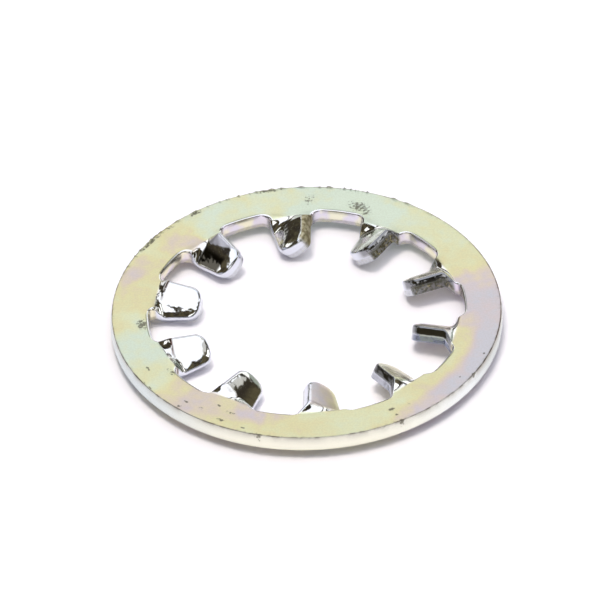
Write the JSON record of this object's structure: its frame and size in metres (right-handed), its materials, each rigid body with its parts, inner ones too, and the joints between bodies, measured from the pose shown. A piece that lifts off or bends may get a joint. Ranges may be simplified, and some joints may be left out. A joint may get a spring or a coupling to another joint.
{
  "type": "internal tooth lock washer",
  "caption": "Flat stamped ring with short twisted teeth around its hole: a lock washer that bites into the screw head and the work so that the screw can't work loose.",
  "frame": {"origin": "on the washer's axis, in the plane that the lowered edges of the teeth rest on", "axes": "+Z along the washer's axis, up out of the face that carries the rolled edges of the teeth; the first tooth lies 23 degrees from +X towards +Y"},
  "size_m": [0.015, 0.015, 0.0013],
  "materials": {
    "plated_steel": "zinc plated spring steel with a thin pale yellow iridescent passivation, satin on the flat ring and bright on the twisted teeth"
  },
  "bodies": {
    "root": {"washer": "plated_steel"}
  },
  "joints": []
}
